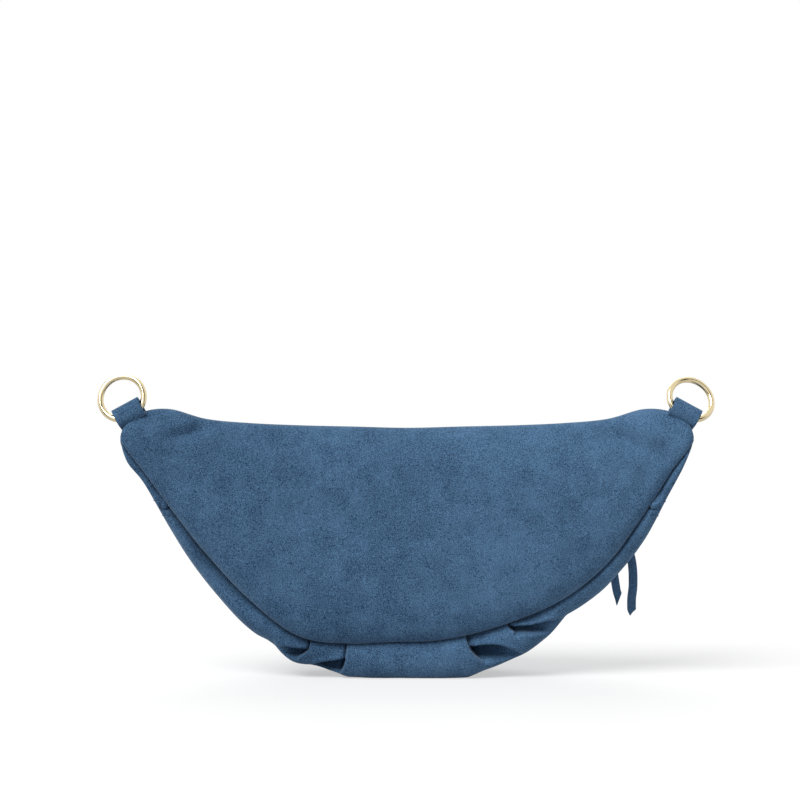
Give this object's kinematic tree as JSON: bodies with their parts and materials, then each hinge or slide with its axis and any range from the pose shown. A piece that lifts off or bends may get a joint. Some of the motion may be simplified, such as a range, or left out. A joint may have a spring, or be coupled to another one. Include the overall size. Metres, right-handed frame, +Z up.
{
  "type": "belt bag",
  "caption": "Half-moon belt bag in soft suede with a zipped front, pleated bottom, knotted zip thong and a strap ring in a loop at each upper corner.",
  "frame": {"origin": "on the standing surface, below the middle of the bag's width, on the flat that the bag stands on", "axes": "+X to the slider's end of the zip, +Y out of the zipped front, +Z up; the wearer's side faces -Y"},
  "size_m": [0.4019, 0.0822, 0.199],
  "materials": {
    "suede": "napped suede, matt",
    "suede_tab": "napped suede, matt",
    "suede_lace": "napped suede, matt",
    "lining_cloth": "cotton twill",
    "zip_tape": "herringbone tape with metal teeth",
    "ring_metal": "polished, pale gold plating",
    "zip_metal": "polished, pale gold plating"
  },
  "bodies": {
    "bag": {"back_panel": "suede", "front_upper_panel": "suede", "front_lower_panel": "suede", "back_lining": "lining_cloth", "front_upper_lining": "lining_cloth", "front_lower_lining": "lining_cloth", "zip_side_upper": "zip_tape", "zip_side_lower": "zip_tape", "zip_top_stop_upper": "zip_metal", "zip_top_stop_lower": "zip_metal", "zip_bottom_stop": "zip_metal", "tab_left": "suede_tab", "tab_right": "suede_tab"},
    "slider": {"zip_slider": "zip_metal"},
    "pull": {"zip_thong": "suede_lace"},
    "left_ring": {"ring_left": "ring_metal"},
    "right_ring": {"ring_right": "ring_metal"}
  },
  "joints": [
    {"name": "slider_travel", "type": "hinge", "parent": "bag", "child": "slider", "pos_m": [0, -0.25025, 0.111], "axis": [0, 0, 1], "range_deg": [0, 54.3], "deforming": ["zip_side_upper", "zip_side_lower"]},
    {"name": "thong_swing", "type": "hinge", "parent": "slider", "child": "pull", "pos_m": [0.13886, 0.01996, 0.1116], "axis": [0.8894, -0.4571, 0], "range_deg": [0, 150]},
    {"name": "left_ring_swing", "type": "hinge", "parent": "bag", "child": "left_ring", "pos_m": [-0.17957, -0.0168, 0.17302], "axis": [0.879, 0, 0.4768], "range_deg": [-40, 80]},
    {"name": "right_ring_swing", "type": "hinge", "parent": "bag", "child": "right_ring", "pos_m": [0.17957, -0.0168, 0.17302], "axis": [0.879, 0, -0.4768], "range_deg": [-28, 92]}
  ]
}
